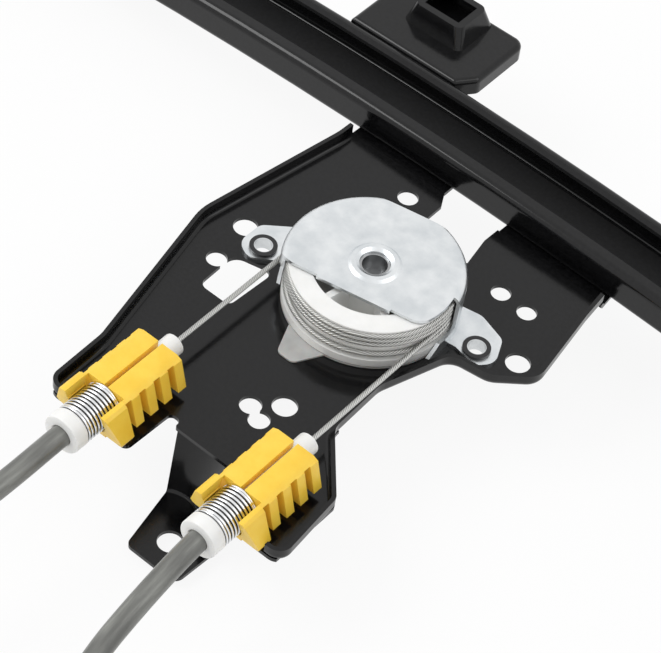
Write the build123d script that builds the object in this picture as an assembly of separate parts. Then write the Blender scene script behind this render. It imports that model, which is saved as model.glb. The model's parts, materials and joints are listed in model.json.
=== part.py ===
from build123d import *
import os
from math import asin, cos, degrees, pi, radians, sin, tan

# Single-rail cable window regulator. Millimetres.
# Origin: axis of the cable drum at the top face of the drum plate.
# +X runs along the guide rail, +Y from the drum towards the rail, +Z out of the
# drum plate towards the drum. The rail is arched about an axis parallel to Y.

# ---------------------------------------------------------------- driving sizes
CLEAR = 0.3                 # gap between faces that move past each other
FIT = 0.05                  # radial clearance of a turning fit

RAIL_LENGTH = 450.0
RAIL_ARCH = 1500.0          # radius of the rail's underside
RAIL_NEAR = 49.0            # Y of the wall next to the drum
RAIL_WIDTH = 25.0
RAIL_HEIGHT = 11.2
RAIL_SHEET = 1.2
RAIL_LIP = 4.8              # width of each in-turned lip
RAIL_BEND = 2.2             # outside bend radius

PLATE_SHEET = 1.2
PLATE_RIM = 3.6             # height of the up-turned rim above the plate
PLATE_BEND = 2.4            # outside bend radius of the rim
PLATE_FRONT = -83.0         # Y of the front edge of the two tongues
PLATE_JOGGLE = 45.0         # Y where the plate steps down under the rail
TONGUE_INNER = 12.0         # inner edge of each tongue
TONGUE_OUTER = 40.0         # outer edge of each tongue
TONGUE_ROOT = -66.0         # Y where the cut between the tongues begins
RIM_MARGIN = 2.0            # flat strip kept inside the rim
REACH = 100.0               # beyond every edge of the plate
DRIVE_HOLE_R = 9.5

FOOT_DROP = 22.0            # how far the foot lies below the plate
FOOT_AXIS_Y = -80.6         # axis of the foot's conical wall
FOOT_TOP_R = 16.0
FOOT_LOW_R = 10.0
FOOT_HOLE_R = 3.5
FOOT_HOLE_X = 6.0
FOOT_HOLE_Y = -84.0

CABLE_R = 0.75
CABLE_Z = 7.0               # height of the two free cable runs
WIND_R = 23.0               # radius of the cable's centre line on the drum
WIND_PITCH = 1.6
WIND_GAP = 2.0              # from the free run to the nearest winding
UPPER_TURNS = 3
LOWER_TURNS = 1

HOUSING_SHEET = 1.0
HOUSING_HEIGHT = 15.0
HOUSING_BEND = 2.2
HOUSING_FLAT = 22.3         # distance of the straight rear edge from the axis
HOUSING_CUT = 12.0          # distance of the front cut from the axis
EAR_ANGLE = 11.8            # the ears' line against X, degrees
EAR_REACH = 32.6
EYELET_R = 2.5
EYELET_WALL = 0.7
EYELET_LIP_R = 3.9
EYELET_LIP = 0.9

DRUM_FLANGE = 0.9           # the drum's flange beyond the cable's centre line
DRUM_FLANGE_HEIGHT = 2.4
DRUM_RIM_WALL = 5.3         # from the winding floor in to the pockets
DRUM_HUB_R = 9.0
DRUM_RIBS = 6
DRUM_RIB = 2.0
WASHER = 0.5
WASHER_TAB = 7.7            # the washer's tab beyond the drum's flange
INSERT_R = 6.0
JOURNAL_R = 4.2
JOURNAL_WALL = 0.7
SOCKET_R = 3.5
SOCKET_DEPTH = 9.0

BLOCK_BACK = -59.2          # Y of the adjuster block's end next to the drum
BLOCK_LENGTH = 26.0
BLOCK_TOP = 12.7
BLOCK_TOP_HALF = 5.4
BLOCK_LOW = 3.1             # height of the fins' lower ends above the plate
BLOCK_LOW_HALF = 9.7
BLOCK_CORE_HALF = 5.0       # half the core that the fins stand on
BLOCK_SLOTS = 4
BLOCK_SLOT = 2.5
BLOCK_FIN = 2.8
BLOCK_WING = 2.9            # thickness of the wide wall round the spring
BLOCK_WING_HALF = 10.3
SLOT_HALF = 0.65            # half the slot along the block's top
SLEEVE_R = 3.2
SLEEVE_OUT = 8.0            # how far the sleeve stands out towards the drum
SPRING_R = 5.5
SPRING_WIRE_R = 0.5
SPRING_LENGTH = 11.8
SPRING_TURNS = 10
SPRING_POCKET = 5.6         # how deep the spring sits in the block
COLLAR_R = 6.2
COLLAR_LENGTH = 4.4
SHEATH_R = 3.0
SHEATH_SEAT = 1.0           # how far the sheath ends behind the collar's face

BRACKET_X = -47.0           # middle of the door bracket
BRACKET_WIDTH = 43.0
BRACKET_REACH = 28.5
CUP_HEIGHT = 6.5
CUP_LENGTH = 21.0
CUP_WIDTH = 17.0
CUP_INSET = 9.6             # middle of the cup from the bracket's free edge

CHANNEL_CABLE_Y = 53.2
CHANNEL_CABLE_W = 4.1       # height of the cable above the rail's underside
PULLEY_R = 12.0             # radius of the cable's centre line on the pulley
PULLEY_AXLE_R = 3.0
END_LENGTH = 32.0
END_REACH = 26.0            # how far the pulley housing reaches from the rail's near wall
END_HEIGHT = 10.6
END_FLOOR = 2.0
PULLEY_GAP_U = 15.0         # pulley axis beyond the rail's end
COVER_SHEET = 1.2
FERRULE_R = 4.0
FERRULE_IN = 6.5            # how deep the ferrule sits in the housing
SHEATH_IN = 5.0             # where the sheath ends in the ferrule, from the housing
DOOR_BOLT_R = 3.25
BOLT_U = 22.0               # door bolt beyond the rail's end
BOLT_Y = 65.0

CARRIER_ROOM = 75.0         # from the carrier's middle, fully raised, to the rail's end
CARRIER_HALF = 24.0
GLASS_GAP = 5.0
PAD = 1.5
CLAMP_SHEET = 2.0
CLAMP_BOLT_R = 3.0
STOP_LENGTH = 8.0

# ------------------------------------------------------------- derived sizes
RAIL_FAR = RAIL_NEAR + RAIL_WIDTH
RAIL_MID = RAIL_NEAR + RAIL_WIDTH / 2
RAIL_Z = -PLATE_SHEET                       # the rail's underside at the crown
ARCH_AXIS = Axis((0, 0, RAIL_Z - RAIL_ARCH), (0, 1, 0))
WIND_FLOOR = WIND_R - CABLE_R               # radius that the cable is wound on
DRUM_FLANGE_R = WIND_R + DRUM_FLANGE
HOUSING_R = DRUM_FLANGE_R + CLEAR + HOUSING_SHEET
BLOCK_FRONT = BLOCK_BACK - BLOCK_LENGTH
SPRING_SEAT = BLOCK_FRONT + SPRING_POCKET
COLLAR_BACK = SPRING_SEAT - SPRING_LENGTH
SHEATH_START = COLLAR_BACK - SHEATH_SEAT
ADJUSTERS = {"left": -1, "right": 1}
END_X = RAIL_LENGTH / 2
END_NEAR = RAIL_NEAR - END_REACH
CARRIER_X = END_X - CARRIER_ROOM


def on_rail(x):
    """Frame at the rail's underside: local X along the rail, local Z off its floor."""
    angle = asin(x / RAIL_ARCH)
    z = RAIL_Z - RAIL_ARCH * (1 - cos(angle))
    return Location((x, 0, z), (0, degrees(angle), 0))


def block(x0, x1, y0, y1, z0, z1):
    size = (x1 - x0, y1 - y0, z1 - z0)
    return Pos((x0 + x1) / 2, (y0 + y1) / 2, (z0 + z1) / 2) * Box(*size)


def rod(radius, z0, z1, x=0.0, y=0.0):
    return Pos(x, y, (z0 + z1) / 2) * Cylinder(radius, z1 - z0)


def rod_y(radius, y0, y1, x=0.0, z=0.0):
    place = Location((x, (y0 + y1) / 2, z), (90, 0, 0))
    return place * Cylinder(radius, y1 - y0)


def ring(inner, outer, z0, z1, x=0.0, y=0.0):
    return rod(outer, z0, z1, x, y) - rod(inner, z0 - 1, z1 + 1, x, y)


def prism(points, z0, z1):
    return Pos(0, 0, z0) * extrude(make_face(Polyline(*points, close=True)), z1 - z0)


def prism_along_y(points, y0, y1):
    """Prism of a section drawn in X and Z, from y0 to y1."""
    face = make_face(Polyline(*[(x, y1, z) for x, z in points], close=True))
    return extrude(face, amount=y1 - y0, dir=(0, -1, 0))


def prism_along_x(points, x0, x1):
    """Prism of a section drawn in Y and Z, from x0 to x1."""
    return Pos(x0, 0, 0) * extrude(section(points), amount=x1 - x0, dir=(1, 0, 0))


def rounded(points, radii, z0, z1):
    """Prism of an outline whose corners have the given radii."""
    wire = FilletPolyline(*points, radius=radii, close=True)
    return Pos(0, 0, z0) * extrude(make_face(wire), z1 - z0)


def turned(points):
    """Solid of revolution about Z of an outline given as (radius, height)."""
    face = make_face(Polyline(*[(r, 0, z) for r, z in points], close=True))
    return revolve(face, Axis.Z)


def along_arch(face, x0, x1):
    """Sweep a section drawn in the plane X = 0 along the rail's arch."""
    a0, a1 = degrees(asin(x0 / RAIL_ARCH)), degrees(asin(x1 / RAIL_ARCH))
    start = face.rotate(ARCH_AXIS, a0)
    return revolve(start, ARCH_AXIS, a1 - a0)


def section(points):
    return make_face(Polyline(*[(0, y, z) for y, z in points], close=True))


# ---------------------------------------------------------------------- rail
def guide_rail():
    outer = Rectangle(RAIL_WIDTH, RAIL_HEIGHT)
    outer = fillet(outer.vertices(), RAIL_BEND)
    inner = Rectangle(RAIL_WIDTH - 2 * RAIL_SHEET, RAIL_HEIGHT - 2 * RAIL_SHEET)
    inner = fillet(inner.vertices(), RAIL_BEND - RAIL_SHEET)
    mouth = Pos(0, RAIL_HEIGHT / 2) * Rectangle(RAIL_WIDTH - 2 * RAIL_LIP, 4 * RAIL_SHEET)
    profile = outer - inner - mouth
    place = Plane((0, RAIL_MID, RAIL_Z + RAIL_HEIGHT / 2), x_dir=(0, 1, 0), z_dir=(1, 0, 0))
    return along_arch((place * profile).face(), -END_X, END_X)


# --------------------------------------------------------------- drum plate
PLATE_OUTLINE = [
    ((-43.5, 72.0), 4), ((-44.3, 40.0), 20), ((-52.0, -10.0), 18), ((-40.5, -62.0), 12),
    ((-TONGUE_OUTER, PLATE_FRONT), 4), ((-TONGUE_INNER, PLATE_FRONT), 2),
    ((-TONGUE_INNER + 0.5, -66.5), 1.5), ((-8.0, -66.5), 1.5), ((-8.0, -69.0), 0.8),
    ((TONGUE_INNER, -69.0), 0.8), ((TONGUE_INNER, PLATE_FRONT), 2),
    ((TONGUE_OUTER, PLATE_FRONT), 4), ((38.0, -59.5), 3), ((23.2, -42.5), 6),
    ((22.6, -23.0), 9), ((29.5, -1.5), 5), ((41.0, 0.2), 8), ((51.0, 9.0), 6),
    ((47.0, 36.0), 20), ((43.5, 72.0), 4),
]
RIM_OUTLINE = [c for c in PLATE_OUTLINE if abs(c[0][0]) > TONGUE_INNER + 0.1]
ROUND_HOLES = [
    (-40.8, -3.6, 3.5), (-38.7, -18.0, 2.95), (-16.2, 37.3, 3.0), (24.0, 28.1, 2.85),
    (33.3, 27.6, 2.85), (42.4, 11.7, 3.5), (1.2, -49.8, 3.05), (6.0, -52.0, 3.0),
    (7.8, -43.8, 3.5),
]
WINDOW = [((-35.9, -28.3), 2.5), ((-36.3, -13.5), 4), ((-24.2, -10.5), 2.5), ((-25.2, -28.3), 2)]
NOTCH = [(-7.5, 27.0), (-7.5, 41.5), (-10.5, 47.0), (-10.5, 57.0),
         (9.5, 57.0), (9.0, 40.0), (10.8, 30.0), (7.0, 26.0)]
FOOT_OUTLINE = [
    ((-8.0, -60.0), 1), ((-8.0, -67.5), 2), ((-5.5, -73.0), 2), ((-1.6, -92.5), 2),
    ((15.5, -92.5), 3), ((16.5, -75.0), 2), ((TONGUE_INNER, -68.0), 2), ((TONGUE_INNER, -60.0), 1),
]


def outline_prism(corners, z0, z1):
    return rounded([c[0] for c in corners], [c[1] for c in corners], z0, z1)


def plate_tray():
    """Flat of the plate with its up-turned rim, still uncut."""
    tall = outline_prism(RIM_OUTLINE, -PLATE_SHEET, PLATE_RIM)
    tall = fillet(tall.faces().sort_by(Axis.Z)[0].edges(), PLATE_BEND)
    face = tall.faces().sort_by(Axis.Z)[-1]
    inside = offset(face, -PLATE_SHEET)
    inside = extrude(inside, -PLATE_RIM, dir=(0, 0, 1))
    inside = fillet(inside.faces().sort_by(Axis.Z)[0].edges(), PLATE_BEND - PLATE_SHEET)
    return tall - inside


def seat_strip():
    """The part of the plate that steps down under the rail and follows its arch."""
    top, low = RAIL_Z, RAIL_Z - PLATE_SHEET
    y = PLATE_JOGGLE
    step = section([(y, 0), (y, -PLATE_SHEET), (y + 1.2, low), (72.0, low), (72.0, top),
                    (y + 2.0, top), (y + 0.8, 0)])
    return along_arch(step, -60, 60)


def foot_wall():
    wall = turned([(FOOT_TOP_R + 4, 0), (FOOT_TOP_R, 0), (FOOT_LOW_R, -FOOT_DROP), (0, -FOOT_DROP),
                   (0, -FOOT_DROP - PLATE_SHEET), (FOOT_LOW_R + 1, -FOOT_DROP - PLATE_SHEET),
                   (FOOT_TOP_R + 1, -PLATE_SHEET), (FOOT_TOP_R + 4, -PLATE_SHEET)])
    bends = [e for e in wall.edges().filter_by(GeomType.CIRCLE)
             if FOOT_LOW_R - 0.5 < e.radius < FOOT_TOP_R + 1.5]
    wall = fillet(bends, 0.9)
    wall = Pos(0, FOOT_AXIS_Y, 0) * wall
    behind = block(-40, 40, FOOT_AXIS_Y + 1, 0, -60, 10)
    floor = outline_prism(FOOT_OUTLINE, -FOOT_DROP - PLATE_SHEET, -FOOT_DROP)
    floor = floor & block(-40, 40, -100, FOOT_AXIS_Y + FOOT_LOW_R * 0.8, -60, 10)
    keep = outline_prism(FOOT_OUTLINE, -60, 10)
    return (wall & behind & keep) + floor


def drum_plate():
    """Tray with a rim, flat where the adjusters sit and where it steps down under the rail."""
    seats = WIND_R + BLOCK_WING_HALF + RIM_MARGIN / 2
    inner = TONGUE_OUTER - RIM_MARGIN
    tray = plate_tray() & block(-REACH, REACH, -REACH, PLATE_JOGGLE, -REACH, REACH)
    tray -= block(-seats, seats, -REACH, TONGUE_ROOT, -REACH, REACH)
    sheet = outline_prism(PLATE_OUTLINE, -PLATE_SHEET, 0)
    front = sheet & block(-inner, inner, -REACH, TONGUE_ROOT + 26, -PLATE_SHEET, 0)
    rear = sheet & block(-inner - 2, inner + 4, PLATE_JOGGLE - 20, PLATE_JOGGLE, -PLATE_SHEET, 0)
    seat = seat_strip() & outline_prism(PLATE_OUTLINE, -REACH, REACH)
    plate = tray + front + rear + seat + foot_wall()
    for x, y, r in ROUND_HOLES:
        plate -= rod(r, -10, 10, x, y)
    plate -= outline_prism(WINDOW, -10, 10)
    plate -= prism(NOTCH, -10, 10)
    plate -= rod(DRIVE_HOLE_R, -10, 10)
    plate -= rod(FOOT_HOLE_R, -FOOT_DROP - 5, -FOOT_DROP + 5, FOOT_HOLE_X, FOOT_HOLE_Y)
    for side in (-1, 1):
        x, y = ear_centre(side)
        plate -= rod(EYELET_R + EYELET_WALL, -10, 10, x, y)
    return plate


# ----------------------------------------------------- drum housing and drum
def ear_centre(side):
    a = radians(EAR_ANGLE)
    return side * EAR_REACH * cos(a), side * EAR_REACH * sin(a)


def ear(side):
    """One ear of the housing, in the housing's own turned frame."""
    root, reach = HOUSING_FLAT - 3.3, EAR_REACH
    outline = [((root, 11.4), 0.3), ((reach - 3.8, 11.4), 5), ((reach + 4.6, 6.8), 3),
               ((reach + 6.6, -1.8), 4.5), ((reach + 2.0, -5.4), 3), ((reach - 5.0, -2.4), 2),
               ((root, -1.8), 0.3)]
    return outline_prism([((side * x, y), r) for (x, y), r in outline], 0, HOUSING_SHEET)


def corner_waste(side, radius, corner, reach):
    """What lies outside the cap's rounded front corner on one side."""
    outline = Circle(radius) & Pos(0, 60 - HOUSING_CUT) * Rectangle(120, 120)
    outline = fillet(outline.vertices(), corner)
    x0, x1 = sorted((side * 11, side * 60))
    return block(x0, x1, -60, reach, 4, 30) - Pos(0, 0, 4) * extrude(outline, 26)


def drum_housing():
    shell = Cylinder(HOUSING_R, HOUSING_HEIGHT, align=(Align.CENTER, Align.CENTER, Align.MIN))
    shell = fillet(shell.faces().sort_by(Axis.Z)[-1].edges(), HOUSING_BEND)
    hollow = rod(HOUSING_R - HOUSING_SHEET, -1, HOUSING_HEIGHT - HOUSING_SHEET)
    hollow = fillet(hollow.faces().sort_by(Axis.Z)[-1].edges(), HOUSING_BEND - HOUSING_SHEET)
    shell += ear(-1) + ear(1)
    shell -= hollow
    bore, top = JOURNAL_R + FIT, HOUSING_HEIGHT
    shell += turned([(bore, top - HOUSING_SHEET), (bore, top), (5.3, top + 0.7), (6.5, top + 0.7),
                     (7.3, top), (7.3, top - HOUSING_SHEET)])
    front = block(-60, 60, -60, -HOUSING_CUT, -1, 30)
    shell -= front - block(-13.8, 12.1, -HOUSING_CUT - 0.8, 0, -2, 31)
    shell -= block(-60, 60, HOUSING_FLAT, 60, -1, 30)
    shell -= corner_waste(-1, HOUSING_R, 6.0, -4.0) + corner_waste(1, HOUSING_R - 2.0, 5.0, 1.0)
    shell -= prism_along_x([(-20, -1), (-9.6, -1), (-9.6, 0), (1, 13.6), (-20, 13.6)], 12, 60)
    shell -= prism_along_x([(-20, -1), (-9.6, -1), (-4, 4), (3.8, 5.6), (3.8, 9.4), (-20, 9.4)],
                           -60, -12)
    shell -= rod(bore, 0, 30)
    for side in (-1, 1):
        shell -= rod(EYELET_R + EYELET_WALL, -1, 5, side * EAR_REACH)
    return Rot(0, 0, EAR_ANGLE) * shell


def housing_eyelets():
    low = -PLATE_SHEET - EYELET_LIP
    top = HOUSING_SHEET + EYELET_LIP
    tube_r = EYELET_R + EYELET_WALL
    out = []
    for side in (-1, 1):
        x, y = ear_centre(side)
        eyelet = rod(tube_r, low, top) + rod(EYELET_LIP_R, HOUSING_SHEET, top)
        eyelet += rod(EYELET_LIP_R, low, -PLATE_SHEET)
        eyelet -= rod(EYELET_R, low - 1, top + 1)
        out.append(Pos(x, y, 0) * eyelet)
    return Compound(children=out)


def winding_heights():
    upper = [CABLE_Z + WIND_GAP + i * WIND_PITCH for i in range(UPPER_TURNS)]
    lower = [CABLE_Z - WIND_GAP - i * WIND_PITCH for i in range(LOWER_TURNS)]
    return upper + lower


def cable_drum():
    """White drum: flange, winding floor with a deeper groove for the free runs, open pockets."""
    low = WASHER + CLEAR
    flange = low + DRUM_FLANGE_HEIGHT
    top = HOUSING_HEIGHT - HOUSING_SHEET - 0.4
    groove = CABLE_R + CLEAR + 0.05
    root, lip = WIND_R - groove, WIND_R - 0.1
    body = turned([(INSERT_R, low), (DRUM_FLANGE_R, low), (DRUM_FLANGE_R, flange),
                   (WIND_FLOOR, flange), (WIND_FLOOR, CABLE_Z - groove), (root, CABLE_Z - groove),
                   (root, CABLE_Z + groove), (WIND_FLOOR, CABLE_Z + groove),
                   (WIND_FLOOR, top - 0.6), (lip, top - 0.6), (lip, top), (JOURNAL_R, top),
                   (JOURNAL_R, top - 1.5), (INSERT_R, top - 1.5)])
    pocket = ring(DRUM_HUB_R, WIND_FLOOR - DRUM_RIM_WALL, flange, top + 1)
    for i in range(DRUM_RIBS):
        rib = block(0, WIND_R, -DRUM_RIB / 2, DRUM_RIB / 2, flange - 1, top - 1.2)
        pocket -= Rot(0, 0, 20 + i * 360 / DRUM_RIBS) * rib
    return body - pocket


def cable_ring(z):
    """One turn of cable with a six-sided section, lying on the winding floor."""
    r = CABLE_R
    return turned([(WIND_R - r, z - r / 2), (WIND_R, z - r), (WIND_R + r, z - r / 2),
                   (WIND_R + r, z + r / 2), (WIND_R, z + r), (WIND_R - r, z + r / 2)])


def drum_windings():
    return Compound(children=[cable_ring(z) for z in winding_heights()])


def drive_insert():
    low = -PLATE_SHEET
    shoulder = HOUSING_HEIGHT - HOUSING_SHEET - 0.4 - 1.5
    journal_top = HOUSING_HEIGHT - 0.6
    web = low + SOCKET_DEPTH + 1.2
    body = rod(INSERT_R, low, shoulder) + rod(JOURNAL_R, shoulder, journal_top)
    body -= rod(SOCKET_R, low - 1, low + SOCKET_DEPTH)
    for i in range(6):
        tooth = block(0, SOCKET_R + 0.6, -0.4, 0.4, low - 1, low + SOCKET_DEPTH)
        body -= Rot(0, 0, i * 60) * tooth
    return body - rod(JOURNAL_R - JOURNAL_WALL, web, journal_top + 1)


def drum_washer():
    washer = ring(DRIVE_HOLE_R - 2, DRUM_FLANGE_R, 0, WASHER)
    root, tip = -DRUM_FLANGE_R + 2.0, -DRUM_FLANGE_R - WASHER_TAB
    tab = rounded([(-9.5, root), (-5.5, tip), (-0.2, tip), (5.0, root)],
                  [0.5, 2.0, 2.0, 0.5], 0, WASHER)
    return washer + tab


# ---------------------------------------------------------------- adjusters
def adjuster_block(side):
    """Slotted block on the plate: a core, slanted fins on both sides and a wide front wall."""
    th, lh, top, low = BLOCK_TOP_HALF, BLOCK_LOW_HALF, BLOCK_TOP, BLOCK_LOW
    core, wing = BLOCK_CORE_HALF, BLOCK_WING_HALF
    body = prism_along_y([(-core, 0), (core, 0), (core, low), (lh, low), (th, top), (-th, top),
                          (-lh, low), (-core, low)], BLOCK_FRONT, BLOCK_BACK)
    for i in range(BLOCK_SLOTS):
        y = BLOCK_BACK - BLOCK_FIN - i * (BLOCK_FIN + BLOCK_SLOT)
        for s in (-1, 1):
            x0, x1 = sorted((s * core, s * (lh + 1)))
            body -= block(x0, x1, y - BLOCK_SLOT, y, low - 1, top - 2.2)
    wall = [(-wing, low - 1.6), (wing, low - 1.6), (wing, low + 4.0), (th + 1.6, top),
            (-th - 1.6, top), (-wing, low + 4.0)]
    body += prism_along_y(wall, BLOCK_FRONT, BLOCK_FRONT + BLOCK_WING)
    body -= rod_y(SLEEVE_R + FIT, BLOCK_FRONT - 1, BLOCK_BACK + 1, 0, CABLE_Z)
    pocket = SPRING_R + CLEAR
    body -= rod_y(pocket, BLOCK_FRONT - 1, SPRING_SEAT, 0, CABLE_Z)
    body -= block(-pocket, pocket, BLOCK_FRONT - 1, SPRING_SEAT, CABLE_Z + 2.5, top + 1)
    body -= block(-SLOT_HALF, SLOT_HALF, BLOCK_FRONT - 1, BLOCK_BACK + 1, CABLE_Z, top + 1)
    return Pos(side * WIND_R, 0, 0) * body


def adjuster_sleeve(side):
    tip = BLOCK_BACK + SLEEVE_OUT
    front = COLLAR_BACK - COLLAR_LENGTH
    body = rod_y(SLEEVE_R, COLLAR_BACK, tip, 0, CABLE_Z)
    body += rod_y(COLLAR_R, front, COLLAR_BACK, 0, CABLE_Z)
    body -= rod_y(CABLE_R + CLEAR, SHEATH_START, tip + 1, 0, CABLE_Z)
    body -= rod_y(SHEATH_R, front - 1, SHEATH_START, 0, CABLE_Z)
    return Pos(side * WIND_R, 0, 0) * body


def adjuster_spring(side):
    """Close-wound spring as a sleeve with one sharp crest for each turn of the wire."""
    pitch = SPRING_LENGTH / SPRING_TURNS
    outer, inner = SPRING_R, SPRING_R - 2 * SPRING_WIRE_R
    outline = [(inner, SPRING_LENGTH), (inner, 0)]
    for i in range(SPRING_TURNS):
        outline += [(outer - SPRING_WIRE_R, i * pitch), (outer, (i + 0.5) * pitch)]
    outline.append((outer - SPRING_WIRE_R, SPRING_LENGTH))
    place = Location((side * WIND_R, SPRING_SEAT, CABLE_Z), (90, 0, 0))
    return place * turned(outline)


# ---------------------------------------------------- free cables and sheaths
def cable_section(radius, sides):
    """Many-sided section of a cable or sheath that fits inside its circle."""
    return RegularPolygon(radius, sides)


def cable_run(side):
    """Straight run from the sheath's end to the drum and on round its rear."""
    x = side * WIND_R
    face = Plane((x, 0, CABLE_Z), x_dir=(1, 0, 0), z_dir=(0, 1, 0)) * cable_section(CABLE_R, 6)
    straight = extrude(face, -SHEATH_START, dir=(0, -1, 0))
    arc = revolve(face, Axis((0, 0, 0), (0, 0, side)), 75)
    return straight + arc


SHEATH_ROUTE = [
    (23.0, -114.0, 7.0), (26.5, -134.0, 6.2), (38.0, -158.0, 4.0), (62.0, -184.0, 0.0),
    (100.0, -200.0, -5.0), (142.0, -200.0, -9.0), (182.0, -184.0, -12.0),
    (214.0, -154.0, -14.5), (236.0, -112.0, -16.5), (248.0, -64.0, -17.6),
]
SHEATH_SIDES = 12


def sheath_end():
    """Where the sheath meets the ferrule at the right-hand rail end."""
    local = Location((PULLEY_GAP_U + PULLEY_R, END_NEAR - SHEATH_IN, CHANNEL_CABLE_W))
    return (on_rail(END_X) * local).position


def sheath_path():
    end = sheath_end()
    points = [Vector(WIND_R, SHEATH_START, CABLE_Z)] + [Vector(*p) for p in SHEATH_ROUTE]
    points += [Vector(end.X, end.Y - 22.0, end.Z), Vector(end.X, end.Y, end.Z)]
    radii = []
    for a, b, c in zip(points, points[1:], points[2:]):
        turn = radians((b - a).get_angle(c - b))
        shorter = min((b - a).length, (c - b).length)
        radii.append(0.45 * shorter / tan(turn / 2))
    return FilletPolyline(*points, radius=radii), radii


def sheath(side):
    path, radii = sheath_path()
    start = Plane(origin=path @ 0, z_dir=path % 0)
    tube = sweep(start * cable_section(SHEATH_R, SHEATH_SIDES), path=path)
    if side > 0:
        print("sheath", round(path.length, 1), "mm, radii", [round(r) for r in radii])
        area = SHEATH_SIDES / 2 * SHEATH_R ** 2 * sin(2 * pi / SHEATH_SIDES)
        print("volume over section times length", round(tube.volume / (area * path.length), 4))
        return tube
    return mirror(tube, about=Plane.YZ)


# ------------------------------------------------------------- door bracket
def door_bracket():
    """Leaf flush with the far lip, a rim turned down and a raised hollow cup."""
    y0, y1 = RAIL_FAR, RAIL_FAR + BRACKET_REACH
    half, sheet, top = BRACKET_WIDTH / 2, RAIL_SHEET, RAIL_HEIGHT
    corners = [(-half, y0), (half - 4.5, y0), (half, y0 + 6.0), (half, y1), (-half, y1)]
    radii = [0.5, 1.0, 2.5, 3.5, 3.5]
    tall = rounded(corners, radii, top - 5.5, top)
    tall = fillet(tall.faces().sort_by(Axis.Z)[-1].edges().filter_by(lambda e: e.center().Y > y0 + 0.1),
                  1.6)
    hollow = rounded([(-half - 5, y0 + sheet), (half - 4.9, y0 + sheet), (half - sheet, y0 + 6.4),
                      (half - sheet, y1 - sheet), (-half - 5, y1 - sheet)],
                     [0.4, 0.6, 1.6, 2.3, 0.5], top - 9, top - sheet)
    leaf = tall - hollow
    cup_y = y1 - CUP_INSET
    cup = Pos(0, cup_y, top) * cup_solid(CUP_LENGTH, CUP_WIDTH, CUP_HEIGHT)
    inside = Pos(0, cup_y, top) * cup_solid(CUP_LENGTH - 2 * sheet, CUP_WIDTH - 2 * sheet, CUP_HEIGHT)
    mouth = Pos(0, cup_y, top + CUP_HEIGHT) * Box(CUP_LENGTH - 8.6, CUP_WIDTH - 8.2, 4 * sheet)
    leaf = leaf + cup - (Pos(0, 0, -sheet) * inside & block(-60, 60, y0, y1, top, top + CUP_HEIGHT))
    leaf -= mouth
    weld = block(-half + 2, half - 6, y0, y0 + sheet, 1.5, top - sheet)
    return on_rail(BRACKET_X) * (leaf + weld)


def cup_solid(length, width, height):
    """Frustum with rounded corners that narrows by 2 mm on each side."""
    base, crown = Rectangle(length, width), Rectangle(length - 4, width - 4)
    solid = loft([base.face(), (Pos(0, 0, height) * crown).face()])
    upright = [e for e in solid.edges() if abs(e.center().Z - height / 2) < 0.1]
    return fillet(upright, 2.5)


# ---------------------------------------------------------------- rail ends
def place_end(side, solid):
    """Put a piece drawn for the right-hand end at the given end."""
    placed = on_rail(END_X) * solid
    return placed if side > 0 else mirror(placed, about=Plane.YZ)


def pulley_centre():
    return PULLEY_GAP_U, CHANNEL_CABLE_Y - PULLEY_R


def pulley_housing(side):
    u, y = pulley_centre()
    exit_u = u + PULLEY_R
    near, far = END_NEAR, RAIL_FAR
    low, top, w = -END_FLOOR, END_HEIGHT, CHANNEL_CABLE_W
    body = rounded([(0, far), (END_LENGTH, far - 4), (END_LENGTH, near), (u - 14.5, near)],
                   [2, 7, 3, 9], low, top)
    inner = RAIL_BEND
    body += block(-12, 1, RAIL_NEAR + inner, RAIL_FAR - inner, RAIL_SHEET + 0.1,
                  RAIL_HEIGHT - RAIL_SHEET - 0.2)
    pocket = PULLEY_R + 2.2
    body -= rod(pocket, 0.6, top + 1, u, y)
    body -= block(-13, u, CHANNEL_CABLE_Y - 1.6, CHANNEL_CABLE_Y + 1.6, w - 1.6, top + 5)
    body -= block(exit_u - 1.6, exit_u + 1.6, near - 1, y, w - 1.6, top + 1)
    body -= rod_y(FERRULE_R + FIT, near - 1, near + FERRULE_IN, exit_u, w)
    body -= rod(PULLEY_AXLE_R + FIT, low - 1, top, u, y)
    body -= rod(DOOR_BOLT_R, low - 1, top + 1, BOLT_U, BOLT_Y)
    return place_end(side, body)


def pulley_cover(side):
    u, y = pulley_centre()
    near = END_NEAR
    cover = rounded([(1.0, 56), (END_LENGTH - 1, 56), (END_LENGTH - 1, near + 1), (3.0, near + 1)],
                    [3, 4, 3, 8], END_HEIGHT, END_HEIGHT + COVER_SHEET)
    cover -= rod(PULLEY_AXLE_R + FIT, 0, 30, u, y)
    return place_end(side, cover)


def end_pulley(side):
    """Grooved wheel with a web that is thinner than its hub and rim."""
    u, y = pulley_centre()
    w, root, lip = CHANNEL_CABLE_W, PULLEY_R - CABLE_R - CLEAR - 0.05, PULLEY_R + 1.7
    bore, half, web = PULLEY_AXLE_R + FIT, 2.9, 1.2
    hub, rim = bore + 2.0, root - 1.8
    wheel = turned([(bore, w - half), (hub, w - half), (hub, w - web), (rim, w - web),
                    (rim, w - half), (lip, w - half), (root, w - 1.1), (root, w + 1.1),
                    (lip, w + half), (rim, w + half), (rim, w + web), (hub, w + web),
                    (hub, w + half), (bore, w + half)])
    return place_end(side, Pos(u, y, 0) * wheel)


def pulley_axle(side):
    u, y = pulley_centre()
    low, top = -END_FLOOR, END_HEIGHT + COVER_SHEET
    axle = rod(PULLEY_AXLE_R, low, top) + rod(5.0, top, top + 1.4) + rod(5.0, low - 1.4, low)
    return place_end(side, Pos(u, y, 0) * axle)


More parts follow.
